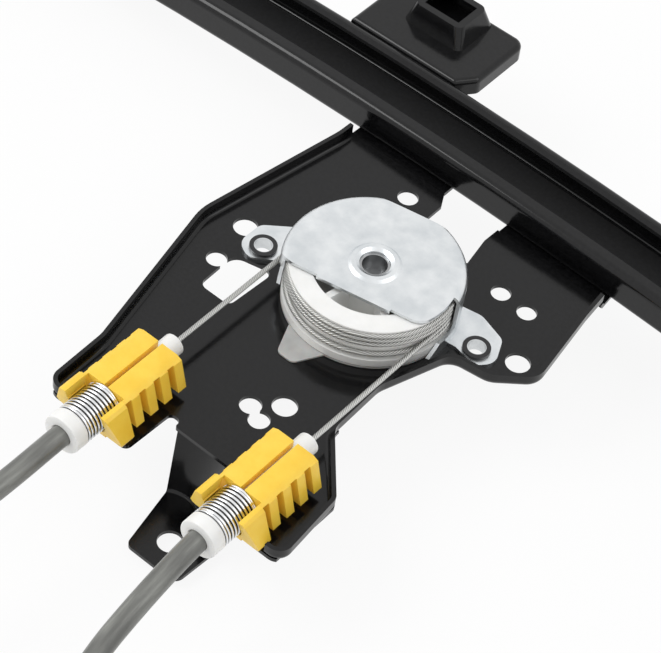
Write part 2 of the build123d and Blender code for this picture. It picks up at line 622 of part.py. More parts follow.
def sheath_ferrule(side):
    u, _ = pulley_centre()
    x, near, w = u + PULLEY_R, END_NEAR, CHANNEL_CABLE_W
    ferrule = rod_y(FERRULE_R, near - 9, near + FERRULE_IN, x, w)
    ferrule += rod_y(FERRULE_R + 1.2, near - 2.2, near, x, w)
    ferrule -= rod_y(CABLE_R + CLEAR, near - 20, near + 20, x, w)
    ferrule -= rod_y(SHEATH_R, near - 20, near - SHEATH_IN, x, w)
    return place_end(side, ferrule)


def channel_cable():
    """One cable from sheath to sheath: round both pulleys and along the channel."""
    u, y = pulley_centre()
    w = CHANNEL_CABLE_W
    spot = Plane((0, CHANNEL_CABLE_Y, RAIL_Z + w), x_dir=(0, 1, 0), z_dir=(1, 0, 0))
    strand = cable_section(CABLE_R, 6)
    run = along_arch((spot * strand).face(), -END_X, END_X)
    face = Plane((u, CHANNEL_CABLE_Y, w), x_dir=(0, 1, 0), z_dir=(1, 0, 0)) * strand
    lead = extrude(face, u, dir=(-1, 0, 0))
    bend = revolve(face, Axis((u, y, 0), (0, 0, -1)), 90)
    low_face = Plane((u + PULLEY_R, y, w), x_dir=(-1, 0, 0), z_dir=(0, 1, 0)) * strand
    tail = extrude(low_face, y - (END_NEAR - SHEATH_IN), dir=(0, -1, 0))
    end = lead + bend + tail
    return run + place_end(1, end) + place_end(-1, end)


def end_stop(side):
    x = CARRIER_X + CARRIER_HALF + CLEAR
    low, top = RAIL_Z + RAIL_SHEET, RAIL_Z + RAIL_HEIGHT - RAIL_SHEET
    near = CHANNEL_CABLE_Y + 2 * CABLE_R
    face = section([(near, low), (RAIL_FAR - RAIL_BEND, low), (RAIL_FAR - RAIL_BEND, top),
                    (near, top)])
    pad = along_arch(face, x, x + STOP_LENGTH)
    return pad if side > 0 else mirror(pad, about=Plane.YZ)


# ------------------------------------------------------------- glass carrier
def place_carrier(solid):
    return on_rail(CARRIER_X) * solid


SHOE_GAP = 0.4
NECK_GAP = 0.6
TABLE_LOW = RAIL_HEIGHT + 0.8
TABLE_TOP = TABLE_LOW + 4.5
JAW_LOW = TABLE_TOP + 2 * PAD + GLASS_GAP


def glass_carrier():
    a = CARRIER_HALF
    inner = RAIL_SHEET + SHOE_GAP
    shoe = block(-a, a, RAIL_NEAR + inner, RAIL_FAR - inner, RAIL_SHEET + SHOE_GAP,
                 RAIL_HEIGHT - RAIL_SHEET - SHOE_GAP)
    neck = block(-a + 4, a - 4, RAIL_NEAR + RAIL_LIP + NECK_GAP, RAIL_FAR - RAIL_LIP - NECK_GAP,
                 RAIL_SHEET + 1, TABLE_LOW + 1)
    table = Pos(0, RAIL_MID, TABLE_LOW) * extrude(RectangleRounded(56, 31, 5), TABLE_TOP - TABLE_LOW)
    body = shoe + neck + table
    y, w = CHANNEL_CABLE_Y, CHANNEL_CABLE_W
    body -= block(-a - 1, a + 1, RAIL_NEAR, y + 1.4, w - 1.4, w + 1.4)
    for s in (-1, 1):
        x0, x1 = sorted((s * (a - 9), s * (a - 3)))
        body -= block(x0, x1, RAIL_NEAR, y + 2.6, w - 2.4, w + 2.6)
    body -= rod(CLAMP_BOLT_R + 0.2, 0, 40, 0, RAIL_MID)
    nut_pocket = Pos(0, RAIL_MID, TABLE_LOW - 4) * extrude(RegularPolygon(5.9, 6), 5.5)
    return place_carrier(body - nut_pocket)


def cable_nipples():
    y, w = CHANNEL_CABLE_Y, CHANNEL_CABLE_W
    out = []
    for s in (-1, 1):
        x = s * (CARRIER_HALF - 6)
        barrel = Location((x, y, w), (0, 90, 0)) * Cylinder(2.3, 5.6)
        hole = Location((x, y, w), (0, 90, 0)) * Cylinder(CABLE_R + CLEAR, 8)
        out.append(place_carrier(barrel - hole))
    return Compound(children=out)


def glass_pads():
    size = (26.0, 25.0, PAD)
    out = []
    for z in (TABLE_TOP + PAD / 2, JAW_LOW - PAD / 2):
        pad = Pos(13.5, RAIL_MID, z) * Box(*size)
        pad -= rod(CLAMP_BOLT_R + 3, z - 5, z + 5, 0, RAIL_MID)
        out.append(place_carrier(pad))
    return Compound(children=out)


def glass_clamp():
    low, top = JAW_LOW, JAW_LOW + CLAMP_SHEET
    y0, y1 = RAIL_MID - 12.5, RAIL_MID + 12.5
    riser_x = -14.0
    jaw = rounded([(riser_x - 1, y0), (27, y0), (27, y1), (riser_x - 1, y1)], [0.5, 5, 5, 0.5],
                  low, top)
    riser = block(riser_x - CLAMP_SHEET, riser_x, y0, y1, TABLE_TOP, top)
    foot = block(-27, riser_x, y0, y1, TABLE_TOP, TABLE_TOP + CLAMP_SHEET)
    clamp = jaw + riser + foot
    clamp = fillet(clamp.edges().filter_by(Axis.Y).group_by(Axis.Z)[-1], 1.5)
    return place_carrier(clamp - rod(CLAMP_BOLT_R + 0.2, 0, 60, 0, RAIL_MID))


def clamp_bolt():
    top = JAW_LOW + CLAMP_SHEET
    bolt = rod(CLAMP_BOLT_R, TABLE_LOW - 3.0, top)
    bolt += Pos(0, 0, top) * extrude(RegularPolygon(5.5, 6), 4.0)
    bolt += rod(7.0, top, top + 1.2)
    return place_carrier(Pos(0, RAIL_MID, 0) * bolt)


def clamp_nut():
    nut = Pos(0, 0, TABLE_LOW - 3.4) * extrude(RegularPolygon(5.6, 6), 4.6)
    return place_carrier(Pos(0, RAIL_MID, 0) * (nut - rod(CLAMP_BOLT_R, 0, 40)))


# -------------------------------------------------------------------- export
def nodes():
    made = {
        "guide_rail": guide_rail(),
        "drum_plate": drum_plate(),
        "door_bracket": door_bracket(),
        "drum_housing": drum_housing(),
        "housing_eyelets": housing_eyelets(),
        "drum_washer": drum_washer(),
        "cable_drum": cable_drum(),
        "drum_windings": drum_windings(),
        "drive_insert": drive_insert(),
        "channel_cable": channel_cable(),
        "glass_carrier": glass_carrier(),
        "cable_nipples": cable_nipples(),
        "glass_pads": glass_pads(),
        "glass_clamp": glass_clamp(),
        "clamp_bolt": clamp_bolt(),
        "clamp_nut": clamp_nut(),
    }
    for name, side in ADJUSTERS.items():
        made["adjuster_block_" + name] = adjuster_block(side)
        made["adjuster_sleeve_" + name] = adjuster_sleeve(side)
        made["adjuster_spring_" + name] = adjuster_spring(side)
        made["cable_run_" + name] = cable_run(side)
        made["sheath_" + name] = sheath(side)
        made["pulley_housing_" + name] = pulley_housing(side)
        made["pulley_cover_" + name] = pulley_cover(side)
        made["end_pulley_" + name] = end_pulley(side)
        made["pulley_axle_" + name] = pulley_axle(side)
        made["sheath_ferrule_" + name] = sheath_ferrule(side)
        made["end_stop_" + name] = end_stop(side)
    return made


os.makedirs("parts", exist_ok=True)
for node, solid in nodes().items():
    export_step(solid, "parts/" + node + ".step")
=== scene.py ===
import json
from math import cos, pi, radians, sin

import bpy
import numpy as np
from mathutils import Matrix, Vector


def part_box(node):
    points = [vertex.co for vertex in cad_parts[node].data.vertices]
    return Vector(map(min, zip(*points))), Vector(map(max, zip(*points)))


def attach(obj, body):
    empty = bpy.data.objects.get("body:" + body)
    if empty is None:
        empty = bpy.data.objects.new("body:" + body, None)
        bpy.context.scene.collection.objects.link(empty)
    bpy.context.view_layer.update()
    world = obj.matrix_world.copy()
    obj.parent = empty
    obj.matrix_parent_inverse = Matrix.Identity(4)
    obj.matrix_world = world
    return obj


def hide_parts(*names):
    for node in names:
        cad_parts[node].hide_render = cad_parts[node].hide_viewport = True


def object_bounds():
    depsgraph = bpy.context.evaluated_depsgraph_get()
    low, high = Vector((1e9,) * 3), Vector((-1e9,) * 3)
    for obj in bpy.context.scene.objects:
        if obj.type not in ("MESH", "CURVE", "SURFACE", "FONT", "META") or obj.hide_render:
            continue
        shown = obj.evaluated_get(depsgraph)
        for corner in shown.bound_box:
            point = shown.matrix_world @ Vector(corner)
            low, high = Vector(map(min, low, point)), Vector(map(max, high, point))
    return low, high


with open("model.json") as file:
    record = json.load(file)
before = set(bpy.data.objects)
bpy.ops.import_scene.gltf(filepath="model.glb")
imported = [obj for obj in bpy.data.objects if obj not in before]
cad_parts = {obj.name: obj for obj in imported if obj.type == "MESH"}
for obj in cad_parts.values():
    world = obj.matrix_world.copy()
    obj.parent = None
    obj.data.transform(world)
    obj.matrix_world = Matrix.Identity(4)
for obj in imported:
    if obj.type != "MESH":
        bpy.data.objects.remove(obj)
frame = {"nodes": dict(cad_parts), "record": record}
NODES = frame["nodes"]
CAD_BOX = [list(v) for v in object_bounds()]
MM = 0.001
SIDES = (("left", -1), ("right", 1))

# --------------------------------------------------------------- named sizes
# cable and drum
CABLE_R = 0.75 * MM
CABLE_Z = 7.0 * MM
WIND_R = 23.0 * MM
WRAP = radians(75)              # how far a free run goes on round the drum's rear
WRAP_START = 0.02               # radians, just past the end of the straight run
WRAP_POINTS = 60
WINDINGS = [z * MM for z in (5.0, 9.0, 10.6, 12.2)]
WINDING_POINTS = 361
WINDING_TWIST = 1.3             # radians between the strands of one turn and the next
STRANDS = 7
STRAND_SHARE = 0.36             # strand radius as a share of the cable's
STRAND_LAY = 8.0 * MM
STRAND_STEP = 0.6 * MM
STRAND_CORNERS = 8

# adjuster spring
SPRING_SEAT = -79.6 * MM
SPRING_LENGTH = 11.8 * MM
SPRING_WIRE_R = 0.46 * MM
SPRING_MID_R = 5.3 * MM
SPRING_TURNS = 11
SPRING_TURN_POINTS = 40
SPRING_DEAD_TURNS = 0.6         # turns that lie flat against each seat
SPRING_CORNERS = 10

# adjuster block, in its section across X and Z and along Y
BLOCK_BACK = -59.2 * MM
BLOCK_FRONT = -84.2 * MM        # at the plate; the front face leans out above it
FRONT_LEAN = 0.32
BLOCK_TOP = 12.7 * MM
BLOCK_LOW = 3.1 * MM
CORE_HALF = 5.0 * MM
BLOCK_SIDE = [(CORE_HALF, 0), (CORE_HALF, BLOCK_LOW), (9.9 * MM, BLOCK_LOW),
              (7.5 * MM, 11.9 * MM), (5.8 * MM, BLOCK_TOP)]
SLOT_SIDE = [(CORE_HALF, 2 * MM), (12 * MM, 2 * MM), (12 * MM, 12.3 * MM), (7.4 * MM, 12.1 * MM),
             (6.3 * MM, 11.5 * MM), (5.4 * MM, 10.6 * MM), (CORE_HALF, 9.4 * MM)]
WING_SIDE = [(10.0 * MM, 1.5 * MM), (11.0 * MM, 2.0 * MM), (11.4 * MM, 3.2 * MM),
             (8.3 * MM, 12.0 * MM), (7.4 * MM, BLOCK_TOP)]
SLOT = 2.3 * MM
FIN = 3.0 * MM
SLOTS = 4
WING = 3.6 * MM
POCKET_R = 6.1 * MM
POCKET_MOUTH_Z = 9.0 * MM
SLIT_HALF = 0.65 * MM
CUT_PAST_FRONT = 6 * MM
CUT_PAST_BACK = 1 * MM
CUT_TOP = 14 * MM
BORE_R = 3.2 * MM
BAR_CORNERS = 48
EDGE = 0.4 * MM
EDGE_SEGMENTS = 3
EDGE_ANGLE = radians(32)
SHARP_ANGLE = radians(40)

# guide sleeve with its collar
SLEEVE_TIP = -53.0 * MM
SLEEVE_BORE_R = 1.05 * MM
SLEEVE_CLEARANCE = 0.05 * MM
COLLAR_FRONT = -95.8 * MM
COLLAR_BACK = -91.4 * MM
COLLAR_R = 5.75 * MM
SOFT = 0.45 * MM                # width of a rounded edge
SOFT_MIDDLE = 0.13 * MM         # how far its middle point lies from each face
SEAT_CLEARANCE = 0.02 * MM
SEAT_MOUTH = 0.2 * MM
TURNED_CORNERS = 64

# sheaths; the routes are in millimetres and mirrored for the left side
SHEATH_START = -92.4 * MM
SHEATH_R = 3.0 * MM
SHEATH_STEP = 1.0 * MM
SHEATH_CORNERS = 32
SHEATH_START_ROUTE = {
    "left": [(23.0, -92.4, 7.0), (23.0, -97.0, 7.0), (22.6, -118.0, 7.0), (23.6, -141.0, 6.8),
             (33.0, -166.0, 4.5)],
    "right": [(23.0, -92.4, 7.0), (23.0, -97.0, 7.0), (25.0, -118.0, 7.0), (28.3, -141.0, 6.8),
              (36.0, -164.0, 5.0)],
}
SHEATH_ROUTE = [
    (66.0, -186.0, -0.5), (100.0, -200.0, -5.0), (142.0, -200.0, -9.0), (182.0, -184.0, -12.0),
    (214.0, -154.0, -14.5), (236.0, -112.0, -16.5), (248.0, -64.0, -17.6),
]
FERRULE_END_Y = 18.0 * MM
FERRULE_LEAD = 22 * MM          # straight stretch of the sheath before the ferrule
ROUTE_POINTS = 24

# masks of the finishes
EYELET_INNER_R = 2.62 * MM
EYELET_BLEND = 0.05 * MM
EAR_REACH = 32.6 * MM
EAR_ANGLE = radians(11.8)
CHANNEL_NEAR = 54.6 * MM
CHANNEL_FAR = 71.6 * MM
CHANNEL_BLEND = 0.4 * MM
CHANNEL_ROUGHNESS = 0.75
FINE_GRAIN = 0.00001            # bump heights in metres
COARSE_GRAIN = 0.00003
RUBBER_GRAIN = 0.00004

# floor, light and camera
FLOOR_DROP = 0.5 * MM
FLOOR_SIZE = 6.0
FLOOR_WHITE = 0.9
FLOOR_ROUGHNESS = 0.8
FLOOR_GLOW = 0.9                # share of plain white where the camera or a gloss sees the floor
WORLD_DIFFUSE = 0.66
WORLD_SEEN = 1.0
KEY_PLACE, KEY_SIZE, KEY_POWER = (-0.95, -0.55, 1.15), (0.8, 0.8), 10.5
FILL_PLACE, FILL_SIZE, FILL_POWER = (0.9, 0.3, 1.1), (0.9, 0.9), 3.5
VIEW_ELEVATION = radians(49.2)
VIEW_PLAN = radians(122.5)
VIEW_ROLL = radians(9.8)
VIEW_DISTANCE = 0.72933
VIEW_TARGET = Vector((-0.0012, -0.0145, 0.0))
LENS = 148.96
SENSOR_WIDTH = 36.0
CLIP = (0.05, 20.0)


# ------------------------------------------------------------------ materials
def maths(tree, operation, a, b):
    """A math node of two inputs, each a socket or a number."""
    node = tree.nodes.new("ShaderNodeMath")
    node.operation = operation
    for socket, value in zip(node.inputs, (a, b)):
        if isinstance(value, float):
            socket.default_value = value
        else:
            tree.links.new(value, socket)
    return node.outputs[0]


class Paint:
    """A principled material and the short calls that build its nodes."""

    def __init__(self, name):
        self.material = bpy.data.materials.new(name)
        self.material.use_nodes = True
        self.tree = self.material.node_tree
        self.shader = self.tree.nodes["Principled BSDF"]
        self.place = self.add("ShaderNodeTexCoord").outputs["Object"]

    def add(self, kind, **values):
        node = self.tree.nodes.new(kind)
        for key, value in values.items():
            node.inputs[key].default_value = value
        return node

    def link(self, a, b):
        self.tree.links.new(a, b)

    def set(self, **values):
        for key, value in values.items():
            self.shader.inputs[key.replace("_", " ")].default_value = value

    def span(self, source, start=(0.0, 1.0), end=(0.0, 1.0)):
        """The source's run from start[0] to start[1] mapped to the run of end."""
        node = self.add("ShaderNodeMapRange")
        node.inputs["From Min"].default_value, node.inputs["From Max"].default_value = start
        node.inputs["To Min"].default_value, node.inputs["To Max"].default_value = end
        self.link(source, node.inputs["Value"])
        return node.outputs["Result"]

    def crest(self, low, high):
        """A share from the mesh's own crest value, by which the finishes paint shade into the
        valleys between wires.
        """
        share = self.add("ShaderNodeAttribute")
        share.attribute_name = "crest"
        return self.span(share.outputs["Fac"], (low, high))

    def noise(self, per_m, detail=3.0, rough=0.55):
        node = self.add("ShaderNodeTexNoise", Scale=per_m, Detail=detail, Roughness=rough)
        self.link(self.place, node.inputs["Vector"])
        return node.outputs["Fac"]

    def ramp(self, source, stops):
        node = self.add("ShaderNodeValToRGB")
        self.link(source, node.inputs["Fac"])
        marks = node.color_ramp.elements
        while len(marks) < len(stops):
            marks.new(0.5)
        for mark, (at, colour) in zip(marks, stops):
            mark.position = at
            mark.color = (*colour, 1.0)
        return node.outputs["Color"]

    def colour(self, source, stops):
        self.link(self.ramp(source, stops), self.shader.inputs["Base Color"])

    def roughness(self, source, low, high):
        self.link(self.span(source, end=(low, high)), self.shader.inputs["Roughness"])

    def bump(self, source, height, strength=1.0):
        node = self.add("ShaderNodeBump", Strength=strength, Distance=height)
        self.link(source, node.inputs["Height"])
        self.link(node.outputs["Normal"], self.shader.inputs["Normal"])


def black_paint():
    """Stoved black enamel with a faint orange peel, dull inside the rail's channel."""
    p = Paint("black_enamel")
    p.colour(p.noise(900), [(0.35, (0.0030, 0.0030, 0.0033)), (0.7, (0.0070, 0.0070, 0.0076))])
    place = p.add("ShaderNodeSeparateXYZ")
    p.link(p.place, place.inputs[0])
    y = place.outputs["Y"]
    inside = maths(p.tree, "MULTIPLY", p.span(y, (CHANNEL_NEAR, CHANNEL_NEAR + CHANNEL_BLEND)),
                   p.span(y, (CHANNEL_FAR, CHANNEL_FAR - CHANNEL_BLEND)))
    dull = maths(p.tree, "MULTIPLY", inside, CHANNEL_ROUGHNESS)
    gloss = p.span(p.noise(140), end=(0.10, 0.20))
    p.link(maths(p.tree, "MAXIMUM", dull, gloss), p.shader.inputs["Roughness"])
    p.bump(p.noise(520, 1.0), FINE_GRAIN)
    p.set(Specular_IOR_Level=0.34)
    return p.material


def zinc():
    """Bright zinc plate: silver-white with faint clouds and a fine grain."""
    p = Paint("zinc_plate")
    p.colour(p.noise(160, 5.0), [(0.3, (0.62, 0.65, 0.67)), (0.7, (0.80, 0.82, 0.83))])
    p.roughness(p.noise(700, 4.0), 0.24, 0.40)
    p.bump(p.noise(2200, 3.0), FINE_GRAIN, 0.6)
    p.set(Metallic=1.0)
    return p.material


def bright_steel():
    """Turned and pressed steel, darker than the plated sheet."""
    p = Paint("bright_steel")
    p.colour(p.noise(300, 4.0), [(0.3, (0.30, 0.305, 0.31)), (0.7, (0.42, 0.425, 0.43))])
    p.roughness(p.noise(900, 3.0), 0.24, 0.40)
    p.set(Metallic=1.0)
    return p.material


def cable_steel():
    """Bare wire rope, with painted shade darkening the valleys between its wires."""
    p = Paint("cable_steel")
    # painted shade: the crest value darkens each wire towards the cable's core, in the valleys
    p.colour(p.crest(0.2, 1.0), [(0.0, (0.05, 0.05, 0.048)), (0.5, (0.26, 0.26, 0.25)),
                                 (1.0, (0.66, 0.66, 0.64))])
    p.roughness(p.noise(2400, 2.0), 0.28, 0.45)
    p.set(Metallic=1.0)
    return p.material


def spring_steel():
    """Bright drawn wire, with painted shade making it black on its inner side and between the turns
    of the coil.
    """
    p = Paint("spring_steel")
    # painted shade: the crest value darkens the wire's inner side, towards the coil's axis
    p.colour(p.crest(0.25, 1.0), [(0.0, (0.012, 0.012, 0.012)), (0.6, (0.10, 0.10, 0.105)),
                                  (0.9, (0.84, 0.85, 0.86))])
    p.roughness(p.noise(900), 0.12, 0.24)
    p.set(Metallic=1.0)
    return p.material


def white_nylon():
    """Moulded natural nylon: milky white with a soft inner glow."""
    p = Paint("white_nylon")
    p.colour(p.noise(240, 4.0), [(0.3, (0.86, 0.86, 0.84)), (0.7, (0.91, 0.91, 0.895))])
    p.roughness(p.noise(600), 0.34, 0.46)
    p.bump(p.noise(1500), FINE_GRAIN)
    p.set(Subsurface_Weight=0.15, Subsurface_Scale=0.002)
    p.shader.inputs["Subsurface Radius"].default_value = (1.0, 0.95, 0.85)
    return p.material


def milky_nylon():
    """Thin unpigmented nylon, painted grey-white all over to stand for the dark plate showing
    through it.
    """
    p = Paint("milky_nylon")
    # painted light: the grey base colour stands for the dark plate seen through the thin nylon
    p.colour(p.noise(260, 4.0), [(0.3, (0.42, 0.42, 0.41)), (0.7, (0.52, 0.52, 0.51))])
    p.roughness(p.noise(500), 0.30, 0.42)
    p.set(Subsurface_Weight=0.2, Subsurface_Scale=0.001)
    return p.material


def yellow_plastic():
    """Moulded yellow acetal with a faint flow pattern and fine grain."""
    p = Paint("yellow_acetal")
    p.colour(p.noise(180, 4.0), [(0.3, (0.95, 0.60, 0.050)), (0.7, (1.0, 0.68, 0.08))])
    p.roughness(p.noise(700), 0.36, 0.50)
    p.bump(p.noise(1700), FINE_GRAIN)
    p.set(Subsurface_Weight=0.08, Subsurface_Scale=0.0015)
    p.shader.inputs["Subsurface Radius"].default_value = (1.0, 0.5, 0.1)
    return p.material


def sheath_jacket():
    """Grey jacket of the cable sheath with lengthwise streaks from its extrusion."""
    p = Paint("sheath_jacket")
    grid = p.add("ShaderNodeTexCoord").outputs["UV"]
    squeeze = p.add("ShaderNodeMapping")
    squeeze.inputs["Scale"].default_value = (60, 9, 1)
    p.link(grid, squeeze.inputs["Vector"])
    streak = p.add("ShaderNodeTexNoise", Scale=1.0, Detail=4.0)
    p.link(squeeze.outputs["Vector"], streak.inputs["Vector"])
    p.colour(streak.outputs["Fac"], [(0.35, (0.125, 0.127, 0.118)), (0.5, (0.170, 0.172, 0.160)),
                                     (0.68, (0.255, 0.26, 0.24))])
    p.roughness(p.noise(500), 0.28, 0.42)
    p.bump(p.noise(1800), FINE_GRAIN)
    return p.material


def black_plastic():
    """Glass-filled black nylon with an eroded grain."""
    p = Paint("black_nylon")
    p.colour(p.noise(600, 5.0), [(0.3, (0.010, 0.010, 0.011)), (0.7, (0.020, 0.020, 0.021))])
    p.roughness(p.noise(900), 0.38, 0.55)
    p.bump(p.noise(2600), COARSE_GRAIN)
    return p.material


def black_rubber():
    """Dull moulded rubber."""
    p = Paint("black_rubber")
    p.colour(p.noise(500, 5.0), [(0.3, (0.012, 0.012, 0.012)), (0.7, (0.022, 0.022, 0.022))])
    p.roughness(p.noise(800), 0.65, 0.85)
    p.bump(p.noise(2000), RUBBER_GRAIN)
    return p.material


def eyelet_finish():
    """Black lip round a plated tube: the colour follows the distance from each eyelet's axis."""
    p = Paint("eyelet_finish")
    away = []
    for side in (-1, 1):
        centre = (side * EAR_REACH * cos(EAR_ANGLE), side * EAR_REACH * sin(EAR_ANGLE), 0)
        level = p.add("ShaderNodeVectorMath")
        level.operation = "MULTIPLY"
        level.inputs[1].default_value = (1, 1, 0)
        p.link(p.place, level.inputs[0])
        gap = p.add("ShaderNodeVectorMath")
        gap.operation = "DISTANCE"
        gap.inputs[1].default_value = centre
        p.link(level.outputs["Vector"], gap.inputs[0])
        away.append(gap.outputs["Value"])
    nearest = maths(p.tree, "MINIMUM", *away)
    share = p.span(nearest, (EYELET_INNER_R - EYELET_BLEND, EYELET_INNER_R + EYELET_BLEND))
    cloud = p.ramp(p.noise(300), [(0.3, (0.62, 0.64, 0.65)), (0.7, (0.74, 0.76, 0.77))])
    mix = p.add("ShaderNodeMix")
    mix.data_type = "RGBA"
    p.link(share, mix.inputs["Factor"])
    p.link(cloud, mix.inputs[6])
    mix.inputs[7].default_value = (0.008, 0.008, 0.009, 1)
    p.link(mix.outputs[2], p.shader.inputs["Base Color"])
    p.link(p.span(share, end=(1.0, 0.0)), p.shader.inputs["Metallic"])
    p.roughness(p.noise(900), 0.25, 0.4)
    return p.material


MATERIALS = {
    "black_paint": black_paint(), "zinc_plate": zinc(), "white_nylon": white_nylon(),
    "clear_nylon": milky_nylon(), "steel_cable": cable_steel(),
    "yellow_plastic": yellow_plastic(), "spring_steel": spring_steel(),
    "grey_sheath": sheath_jacket(), "black_plastic": black_plastic(),
    "black_rubber": black_rubber(),
}
STEEL_NODES = ("drive_insert", "clamp_bolt", "clamp_nut", "pulley_axle_left", "pulley_axle_right")


def dress_nodes():
    """Put each subpart's finish on its own node, by the record's slots."""
    special = dict.fromkeys(STEEL_NODES, bright_steel())
    special["housing_eyelets"] = eyelet_finish()
    for part in frame["record"]["subparts"]:
        node = NODES[part["node"]]
        look = special.get(part["node"]) or MATERIALS[part["material_slot"]]
        for place in node.material_slots:
            place.material = look


# ------------------------------------------------------------- mesh helpers
def linked(name, mesh):
    piece = bpy.data.objects.new(name, mesh)
    bpy.context.scene.collection.objects.link(piece)
    return piece


def solid(name, verts, faces):
    mesh = bpy.data.meshes.new(name)
    mesh.from_pydata([tuple(v) for v in verts], [], faces)
    return linked(name, mesh)


def new_mesh(name, verts, faces, body, slot, crest=None):
    """A smooth piece with the finish of its slot, riding a body."""
    piece = solid(name, verts, faces)
    mesh = piece.data
    if crest is not None:
        mesh.attributes.new("crest", "FLOAT", "POINT").data.foreach_set("value", crest)
    mesh.polygons.foreach_set("use_smooth", [True] * len(mesh.polygons))
    mesh.materials.append(MATERIALS[slot])
    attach(piece, body)
    return piece


def skin(rings, corners, base=0):
    """Faces between one ring of corners and the next, from the vertex numbered base."""
    return [(base + i * corners + c, base + i * corners + (c + 1) % corners,
             base + (i + 1) * corners + (c + 1) % corners, base + (i + 1) * corners + c)
            for i in range(rings - 1) for c in range(corners)]


def end_caps(rings, corners):
    return [tuple(reversed(range(corners))), tuple(range((rings - 1) * corners, rings * corners))]


def unit(rows):
    return rows / np.linalg.norm(rows, axis=1)[:, None]


def run_frame(path):
    """Sideways and upward directions at each point of a path that lies near a level plane."""
    along = unit(np.gradient(path, axis=0))
    side = unit(np.cross(along, (0, 0, 1.0)))
    return side, np.cross(side, along)


def resample(points, step):
    """Even points along a line, and how far along it each one is."""
    points = np.array(points, float)
    reach = np.r_[0, np.cumsum(np.linalg.norm(np.diff(points, axis=0), axis=1))]
    count = int(reach[-1] / step) + 1
    at = np.linspace(0, reach[-1], count)
    return np.stack([np.interp(at, reach, points[:, i]) for i in range(3)], 1), at


def strand_tubes(points, phase=0.0):
    """Vertices and faces of the strands that twist round a path lying near a level plane."""
    path, at = resample(points, STRAND_STEP)
    side, up = run_frame(path)
    strand_r = CABLE_R * STRAND_SHARE
    offset = CABLE_R - strand_r
    verts, faces, crest = [], [], []
    for k in range(STRANDS):
        turn = 2 * pi * (at / STRAND_LAY + k / STRANDS) + phase
        middle = path + offset * (np.cos(turn)[:, None] * side + np.sin(turn)[:, None] * up)
        faces += skin(len(path), STRAND_CORNERS, len(verts))
        for i in range(len(path)):
            for c in range(STRAND_CORNERS):
                around = 2 * pi * c / STRAND_CORNERS
                a = turn[i] + around
                verts.append(middle[i] + strand_r * (cos(a) * side[i] + sin(a) * up[i]))
                # crest is 1 on a strand's outer side and 0 on its inner side; the cable's finish
                # paints shade from it
                crest.append(0.5 + 0.5 * cos(around))
    return verts, faces, crest


def tube(points, radius, corners):
    """Closed tube round a smooth path, with how far along and round it each vertex is."""
    path = np.array(points, float)
    side, up = run_frame(path)
    reach = np.r_[0, np.cumsum(np.linalg.norm(np.diff(path, axis=0), axis=1))]
    angle = np.linspace(0, 2 * pi, corners, endpoint=False)
    rims = (path[:, None] + radius * (np.cos(angle)[None, :, None] * side[:, None]
                                      + np.sin(angle)[None, :, None] * up[:, None]))
    return (rims.reshape(-1, 3), skin(len(path), corners) + end_caps(len(path), corners), reach)


# ------------------------------------------------- adjuster blocks and sleeves
def prism(outline, y0, y1, lean=0.0):
    """Closed prism of an outline in X and Z, from y0 up to y1; the end at y0 leans out with Z."""
    count = len(outline)
    verts = [(x, y0 - lean * z, z) for x, z in outline] + [(x, y1, z) for x, z in outline]
    faces = [tuple(range(count)), tuple(reversed(range(count, 2 * count)))]
    faces += [(i, i + count, (i + 1) % count + count, (i + 1) % count) for i in range(count)]
    return solid("cutter", verts, faces)


def round_bar(radius, y0, y1, z):
    """Closed bar along Y, for the round cuts."""
    a = np.linspace(0, 2 * pi, BAR_CORNERS, endpoint=False)
    return prism([(radius * cos(t), z + radius * sin(t)) for t in a], y0, y1)


def mirrored(outline):
    """The outline on the other side of X = 0, running on in the same direction."""
    return [(-x, z) for x, z in reversed(outline)]


def apply_modifiers(piece):
    graph = bpy.context.evaluated_depsgraph_get()
    made = bpy.data.meshes.new_from_object(piece.evaluated_get(graph))
    piece.modifiers.clear()
    piece.data = made


def combine(piece, other, operation):
    step = piece.modifiers.new("combine", "BOOLEAN")
    step.operation = operation
    step.solver = "EXACT"
    step.object = other
    apply_modifiers(piece)
    bpy.data.objects.remove(other)


def block_mesh():
    """Moulded block about X = 0: slotted sides, a wide front, pocket, bore and slit, soft edges."""
    block = prism(BLOCK_SIDE + mirrored(BLOCK_SIDE), BLOCK_FRONT, BLOCK_BACK, FRONT_LEAN)
    for i in range(SLOTS):
        high = BLOCK_BACK - FIN - i * (FIN + SLOT)
        combine(block, prism(SLOT_SIDE, high - SLOT, high), "DIFFERENCE")
        combine(block, prism(mirrored(SLOT_SIDE), high - SLOT, high), "DIFFERENCE")
    wings = prism(WING_SIDE + mirrored(WING_SIDE), BLOCK_FRONT, BLOCK_FRONT + WING, FRONT_LEAN)
    combine(block, wings, "UNION")
    front = BLOCK_FRONT - CUT_PAST_FRONT
    back = BLOCK_BACK + CUT_PAST_BACK
    combine(block, prism(upright(POCKET_R, POCKET_MOUTH_Z), front, SPRING_SEAT), "DIFFERENCE")
    combine(block, round_bar(POCKET_R, front, SPRING_SEAT, CABLE_Z), "DIFFERENCE")
    combine(block, round_bar(BORE_R, front, back, CABLE_Z), "DIFFERENCE")
    combine(block, prism(upright(SLIT_HALF, CABLE_Z), front, back), "DIFFERENCE")
    bevel = block.modifiers.new("edge", "BEVEL")
    bevel.width = EDGE
    bevel.segments = EDGE_SEGMENTS
    bevel.limit_method = "ANGLE"
    bevel.angle_limit = EDGE_ANGLE
    apply_modifiers(block)
    mesh = block.data
    bpy.data.objects.remove(block)
    return mesh


def upright(half, low):
    """Outline of a cut that is open at the block's top."""
    return [(-half, low), (half, low), (half, CUT_TOP), (-half, CUT_TOP)]


